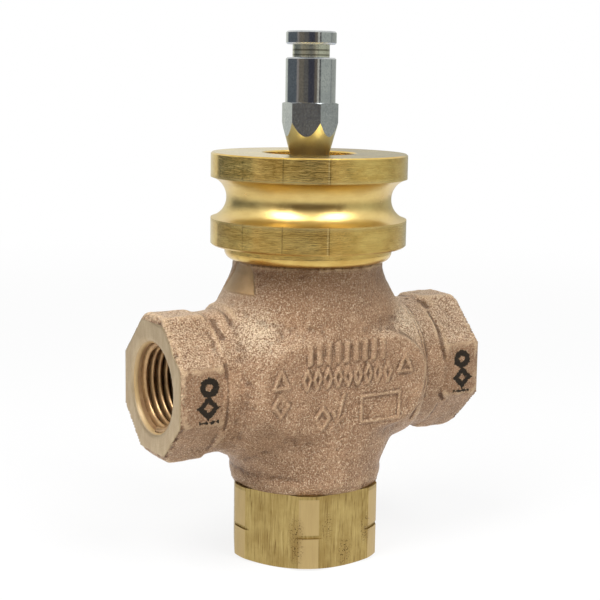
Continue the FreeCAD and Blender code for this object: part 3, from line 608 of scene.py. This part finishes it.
thread_in = thread_tree.nodes.new("NodeGroupInput").outputs
thread_length = reckoned("MULTIPLY", thread_in["Turns"], thread_in["Pitch"])
thread_shrink = reckoned("MULTIPLY", thread_length, thread_in["Taper"])
thread_end_r = reckoned("SUBTRACT", thread_in["Mouth radius"], thread_shrink)
helix = thread_node("GeometryNodeCurveSpiral", {
    "Resolution": 72, "Rotations": thread_in["Turns"], "Start Radius": thread_in["Mouth radius"],
    "End Radius": thread_end_r, "Height": thread_length}).outputs[0]
upright = thread_node("GeometryNodeSetCurveNormal", {0: helix}, mode="Z_UP").outputs[0]
ridge_foot = reckoned("MULTIPLY", thread_in["Pitch"], RIDGE_HALF_FOOT)
ridge_crest = reckoned("MULTIPLY", thread_in["Pitch"], RIDGE_HALF_CREST)


def ridge_corner(sideways, inward):
    """One corner of the ridge's section, from sockets or numbers for its two distances."""
    return thread_node("ShaderNodeCombineXYZ", {0: inward, 1: sideways, 2: 0.0}).outputs[0]


section = thread_node("GeometryNodeCurvePrimitiveQuadrilateral", {
    "Point 1": ridge_corner(reckoned("MULTIPLY", ridge_foot, -1.0), 0.0),
    "Point 2": ridge_corner(ridge_foot, 0.0),
    "Point 3": ridge_corner(ridge_crest, thread_in["Height"]),
    "Point 4": ridge_corner(reckoned("MULTIPLY", ridge_crest, -1.0), thread_in["Height"])},
    mode="POINTS").outputs[0]
swept = thread_node("GeometryNodeCurveToMesh", {
    "Curve": upright, "Profile Curve": section, "Fill Caps": True}).outputs[0]
whole = thread_node("GeometryNodeRealizeInstances", {0: swept}).outputs[0]
painted = thread_node("GeometryNodeSetMaterial", {
    "Geometry": whole, "Material": thread_in["Finish"]}).outputs[0]
thread_node("NodeGroupOutput", {0: painted})

thread_paint, thread_shader, thread_place = new_finish("cut_thread")
cut_marks = thread_place.grain(3000.0, 3.0, 0.6)
thread_stain = thread_place.grain(260.0, 4.0, 0.65)
thread_colour = thread_stain.band(0.3, 0.7).tint(tone(156, 118, 80), tone(196, 160, 112))
set_shader(thread_shader, {
    "Base Color": (cut_marks.band(0.4, 0.8) * 0.5).tint(thread_colour, tone(208, 180, 134)),
    "Metallic": 0.55, "Roughness": thread_stain * 0.2 + 0.24,
    "Normal": relief(cut_marks, 0.5, 0.00005)})


def cut_thread(name, turns, place):
    """One port's thread, turned to its place in the valve."""
    piece = put_in_scene(name, bpy.data.meshes.new(name))
    tool = piece.modifiers.new("thread", "NODES")
    tool.node_group = thread_tree
    tool[thread_inputs["Turns"]] = turns
    tool[thread_inputs["Finish"]] = thread_paint
    mesh = settled(piece)
    mesh.transform(place)
    cut = bmesh.new()
    cut.from_mesh(mesh)
    bmesh.ops.recalc_face_normals(cut, faces=cut.faces)
    cut.to_mesh(mesh)
    cut.free()
    piece.data = mesh
    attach(piece, "valve_body")
    return piece


quarter_turn = math.radians(90)
to_left = Matrix.Translation((-FACE_X + THREAD_START, 0, PORT_Z))
to_left = to_left @ Matrix.Rotation(quarter_turn, 4, "Y")
to_right = Matrix.Translation((FACE_X - THREAD_START, 0, PORT_Z))
to_right = to_right @ Matrix.Rotation(-quarter_turn, 4, "Y")
left_thread = cut_thread("left_port_thread", 6.2, to_left)
right_thread = cut_thread("right_port_thread", 6.2, to_right)
bottom_thread = cut_thread("bottom_port_thread", 6.0, Matrix.Translation((0, 0, THREAD_START)))


# The bottom port adapter. Drawn hexagon bar of brass, its corners turned down and nicked in the
# lathe; it is screwed up into the boss and carries the lower seat.

BAR_CORNER_R, BAR_CORNER_TOP_Z = 0.01884, 0.0176


def give_finish(finish, *names):
    """Gives solids a finish in place of the plain one that they came with."""
    for name in names:
        cad_nodes[name].data.materials.clear()
        cad_nodes[name].data.materials.append(finish)


bar_brass, bar_shader, bar_place = new_finish("drawn_brass_bar")
bar_x, bar_y, bar_z = (bar_place.axis(n) for n in range(3))
drawn = bar_place.stretched(1, 1, 0.06).grain(2600.0, 3.0, 0.65)
cloud = bar_place.grain(120.0, 4.0, 0.6)
specks = bar_place.grain(2900.0, 2.0, 0.55)
bar_radius = bar_x.root_of_squares(bar_y)
corner = (bar_radius > BAR_CORNER_R) * (bar_z < BAR_CORNER_TOP_Z)
bar_colour = cloud.band(0.3, 0.7).tint(tone(160, 134, 78), tone(188, 164, 104))
bar_colour = (drawn.band(0.5, 0.72) * 0.75).tint(bar_colour, tone(120, 94, 50))
bar_colour = (drawn.band(0.44, 0.3) * 0.5).tint(bar_colour, tone(206, 184, 126))
bar_colour = (corner * 0.85).tint(bar_colour, tone(196, 170, 118))
pitted = specks.band(0.42, 0.37)

# Pitted stains, five on the front flats and three behind, each given by its middle and its reach.
for middle, reach in (((-0.0112, -0.0148, 0.0090), 0.0042), ((-0.0110, -0.0150, 0.0045), 0.0034),
                      ((-0.0040, -0.0175, 0.0104), 0.0034), ((0.0012, -0.0174, 0.0035), 0.0040),
                      ((0.0073, -0.0171, 0.0085), 0.0034), ((0.0175, 0.0060, 0.0090), 0.0050),
                      ((0.0020, 0.0174, 0.0060), 0.0046), ((-0.0150, 0.0110, 0.0120), 0.0040)):
    offset = bar_place.node("ShaderNodeVectorMath", {"operation": "SUBTRACT"}, {
        0: bar_place, 1: middle})
    offset = offset.stretched(1.5, 1.5, 0.7)
    away = offset.node("ShaderNodeVectorMath", {"operation": "LENGTH"}, {0: offset}, 1)
    near = away.band(reach, reach * 0.2)
    bar_colour = (near * cloud.band(0.4, 0.6) * 0.5).tint(bar_colour, tone(138, 108, 58))
    bar_colour = (near * pitted * 0.95).tint(bar_colour, tone(64, 44, 24))
set_shader(bar_shader, {
    "Base Color": bar_colour, "Metallic": 0.9,
    "Roughness": drawn * 0.3 + 0.26,
    "Normal": relief(drawn - pitted * 0.4, 0.35, 0.00010)})
give_finish(bar_brass, "bottom_port_adapter")


# The flat gaskets under the boss and under the bonnet's shoulder. Stamped from grey fibre and squeezed
# as the adapter and the bonnet are screwed home.

fibre, fibre_shader, fibre_place = new_finish("gasket_fibre")
fibres = fibre_place.stretched(1, 1, 3).grain(1800.0, 4.0, 0.7)
set_shader(fibre_shader, {
    "Base Color": fibres.band(0.3, 0.7).tint(tone(92, 94, 90), tone(140, 142, 136)),
    "Roughness": 0.85, "Normal": relief(fibres, 0.6, 0.0001)})
give_finish(fibre, "adapter_gasket", "bonnet_gasket")


# The bonnet, screwed into the neck, and the gland nut in its recess. Turned from brass bar: two
# flanges with a round groove for the actuator's clamp. The tool has left fine rings, and handling a
# few dark stains and nicks.

GROOVE_Z, GROOVE_REFLECTION_Z = 0.08798, 0.0873
DARKER_BELOW_Z = 0.083
NICKED_R = 0.0236

turned_brass, turned_shader, turned_place = new_finish("turned_brass")
turned_x, turned_y, turned_z = (turned_place.axis(n) for n in range(3))
turned_r = turned_x.root_of_squares(turned_y)
ring_place = turned_r.node("ShaderNodeCombineXYZ", {}, {
    0: turned_x * 0.02, 1: turned_y * 0.02, 2: turned_z + turned_r * 0.8})
rings = ring_place.grain(15000.0, 1.0, 0.5)
broad_rings = ring_place.grain(900.0, 2.0, 0.6)
groove_share = abs(turned_z - GROOVE_Z).band(0.0062, 0.0050)
smears = turned_place.stretched(1, 1, 2.4).grain(150.0, 4.0, 0.62)
stains = turned_place.grain(420.0, 3.0, 0.55)
pits = turned_place.grain(1500.0, 2.0, 0.55)
turned_colour = smears.band(0.3, 0.7).tint(tone(210, 173, 94), tone(230, 199, 119))
turned_colour = (broad_rings.band(0.5, 0.8) * 0.18).tint(turned_colour, tone(160, 126, 62))
# The groove is painted paler: a painted sheen in place of the whitish light it shows.
turned_colour = (groove_share * 0.35).tint(turned_colour, tone(218, 200, 144))
# A dark band across the front of the groove, on the side towards the camera, is a painted reflection.
groove_front = (turned_x * -0.47 + turned_y * -0.883) / turned_r
painted_groove_reflection = abs(turned_z - GROOVE_REFLECTION_Z).band(0.0016, 0.0003)
painted_groove_reflection = painted_groove_reflection * (groove_front + stains * 0.1).band(0.93, 1.04)
turned_colour = (painted_groove_reflection * 0.75).tint(turned_colour, tone(122, 92, 48))
# Below this height the bonnet is a little darker.
turned_colour = ((turned_z < DARKER_BELOW_Z) * 0.16).tint(turned_colour, tone(146, 112, 58))
turned_colour = (stains.band(0.66, 0.78) * 0.3).tint(turned_colour, tone(128, 98, 50))
turned_colour = (pits.band(0.71, 0.77) * 0.6).tint(turned_colour, tone(98, 72, 36))

# Upright nicks across both flanges, each given by its direction seen from above, its width and its
# shade.
for turn, width, shade in (
        (-135.7, 0.00012, tone(120, 90, 44)), (-110.5, 0.00016, tone(232, 214, 160)),
        (-109.6, 0.00013, tone(112, 84, 42)), (-161.0, 0.00010, tone(140, 112, 60)),
        (35.0, 0.00014, tone(122, 94, 48)), (82.0, 0.00012, tone(130, 100, 52))):
    side_x, side_y = math.cos(math.radians(turn)), math.sin(math.radians(turn))
    nick = abs(turned_x * side_y - turned_y * side_x) < width
    nick = nick * (turned_x * side_x + turned_y * side_y > NICKED_R)
    turned_colour = (nick * 0.4).tint(turned_colour, shade)
set_shader(turned_shader, {
    "Base Color": turned_colour, "Metallic": 1.0,
    "Roughness": smears * 0.08 + groove_share * 0.13 + 0.12,
    "Normal": relief(rings * 0.97 + broad_rings * 0.03, 0.75, 0.00003)})
give_finish(turned_brass, "bonnet", "gland_nut")


# The plug and the guide bush of its stem. Brass of a finer grain, turned and polished so that they
# slide well; the plug is clamped on the stem, and the bush is set in the bonnet's nose.

plug_brass, plug_shader, plug_place = new_finish("plug_brass")
plug_x, plug_y, plug_z = (plug_place.axis(n) for n in range(3))
plug_r = plug_x.root_of_squares(plug_y)
plug_section = plug_r.node("ShaderNodeCombineXYZ", {}, {0: plug_r, 1: 0.0, 2: plug_z})
plug_rings = plug_section.grain(5000.0, 2.0, 0.6)
plug_cloud = plug_place.grain(260.0, 3.0, 0.6)
set_shader(plug_shader, {
    "Base Color": plug_cloud.band(0.3, 0.7).tint(tone(190, 158, 86), tone(214, 186, 118)),
    "Metallic": 1.0, "Roughness": plug_rings * 0.2 + 0.14,
    "Normal": relief(plug_rings, 0.4, 0.00003)})
give_finish(plug_brass, "plug", "stem_guide_bush")


# The packing. White chevron rings of fluoroplastic, moulded, between a base ring and a follower; they
# are stacked round the stem and pressed down by the spring.

packing, packing_shader, packing_place = new_finish("packing_white")
packing_cloud = packing_place.grain(900.0, 3.0, 0.6)
set_shader(packing_shader, {
    "Base Color": packing_cloud.band(0.3, 0.7).tint(tone(218, 218, 210), tone(238, 238, 232)),
    "Roughness": packing_cloud * 0.2 + 0.4, "Subsurface Weight": 0.1,
    "Subsurface Radius": (0.001, 0.001, 0.001), "Subsurface Scale": 0.5,
    "Normal": relief(packing_cloud, 0.3, 0.00004)})
give_finish(packing, "packing_base_ring", "v_ring_1", "v_ring_2", "v_ring_3", "packing_follower")


# The rubber rings, moulded: two seal rings let into the faces of the plug, and the wiper let into the
# top of the gland nut.

rubber, rubber_shader, rubber_place = new_finish("seal_rubber")
rubber_cloud = rubber_place.grain(1400.0, 4.0, 0.6)
set_shader(rubber_shader, {
    "Base Color": rubber_cloud.band(0.3, 0.7).tint(tone(30, 30, 31), tone(48, 48, 49)),
    "Roughness": rubber_cloud * 0.3 + 0.5, "Normal": relief(rubber_cloud, 0.4, 0.00005)})
give_finish(rubber, "lower_seal_ring", "upper_seal_ring", "wiper_ring")


# The stem, the packing spring and their washers and nut. Stainless steel, ground or bright drawn; the
# nut and its washer hold the plug on the stem.

stainless, stainless_shader, stainless_place = new_finish("ground_stainless")
lay = stainless_place.stretched(1, 1, 18).grain(420.0, 3.0, 0.6)
steel_cloud = stainless_place.grain(300.0, 3.0, 0.6)
set_shader(stainless_shader, {
    "Base Color": steel_cloud.band(0.3, 0.7).tint(tone(172, 172, 174), tone(206, 206, 208)),
    "Metallic": 1.0, "Roughness": lay * 0.22 + 0.14, "Normal": relief(lay, 0.3, 0.00003)})
give_finish(stainless, "stem", "packing_spring", "spring_washer", "plug_washer", "plug_nut")


# The stem connector. Hexagon bar of steel turned to a button, a neck and a cone, then nickel plated
# and screwed on the stem: it mirrors the studio in upright bands.

HEXAGON_TOP_Z = 0.1108
BUTTON_NECK_R, BUTTON_NECK_LOW_Z, BUTTON_NECK_HIGH_Z = 0.0052, 0.1215, 0.1252
UPPER_LINE_Z, LOWER_LINE_Z = 0.12315, 0.1220

nickel, nickel_shader, nickel_place = new_finish("nickel_plate")
nickel_x, nickel_y, nickel_z = (nickel_place.axis(n) for n in range(3))
nickel_r = nickel_x.root_of_squares(nickel_y)
nickel_section = nickel_r.node("ShaderNodeCombineXYZ", {}, {0: nickel_r, 1: 0.0, 2: nickel_z})
nickel_rings = nickel_section.grain(3800.0, 2.0, 0.6)
nickel_haze = nickel_place.grain(2600.0, 3.0, 0.65)
nickel_cloud = nickel_place.grain(260.0, 3.0, 0.6)
nickel_facing = nickel_place.node("ShaderNodeNewGeometry", {}, {}, 1)
turned_cone = (nickel_facing.axis(2) < -0.1) * (nickel_z < HEXAGON_TOP_Z)
hexagon_part = (nickel_z < HEXAGON_TOP_Z) * (1 - turned_cone)
under_button = (nickel_facing.axis(2) < -0.3) * (nickel_z > HEXAGON_TOP_Z)
neck_part = (nickel_z > BUTTON_NECK_LOW_Z) * (nickel_z < BUTTON_NECK_HIGH_Z)
neck_part = (nickel_r < BUTTON_NECK_R) * neck_part
neck_lines = abs(nickel_z - UPPER_LINE_Z).band(0.00032, 0.00012)
neck_lines = neck_lines + abs(nickel_z - LOWER_LINE_Z).band(0.00026, 0.0001)
nickel_colour = nickel_cloud.band(0.3, 0.7).tint(tone(182, 185, 186), tone(196, 198, 197))
glitter = nickel_haze.band(0.60, 0.68) * hexagon_part
nickel_colour = (glitter * 0.6).tint(nickel_colour, tone(226, 228, 228))
nickel_colour = (nickel_haze.band(0.50, 0.40) * 0.35).tint(nickel_colour, tone(138, 142, 144))
# The downward-facing cone is painted pale gold: a painted reflection of the brass below.
nickel_colour = (turned_cone * 0.6).tint(nickel_colour, tone(204, 204, 170))
# The button's neck is painted pale gold with two dark lines across it: a painted reflection of the
# brass below.
nickel_colour = (neck_part * 0.7).tint(nickel_colour, tone(206, 204, 176))
nickel_colour = (neck_part * neck_lines * 0.7).tint(nickel_colour, tone(84, 78, 58))
# The underside of the button is painted pale blue-white: a painted reflection.
nickel_colour = (under_button * 0.8).tint(nickel_colour, tone(206, 214, 226))
nickel_dullness = 0.09 + nickel_haze * 0.06 + hexagon_part * 0.04 + turned_cone * 0.20
set_shader(nickel_shader, {
    "Base Color": nickel_colour, "Metallic": 1.0,
    "Roughness": nickel_dullness + neck_part * 0.16 + under_button * 0.35,
    "Normal": relief(nickel_rings * 0.6 + nickel_haze * (hexagon_part * 1.4 + 0.6), 0.35, 0.00004)})
give_finish(nickel, "stem_connector")
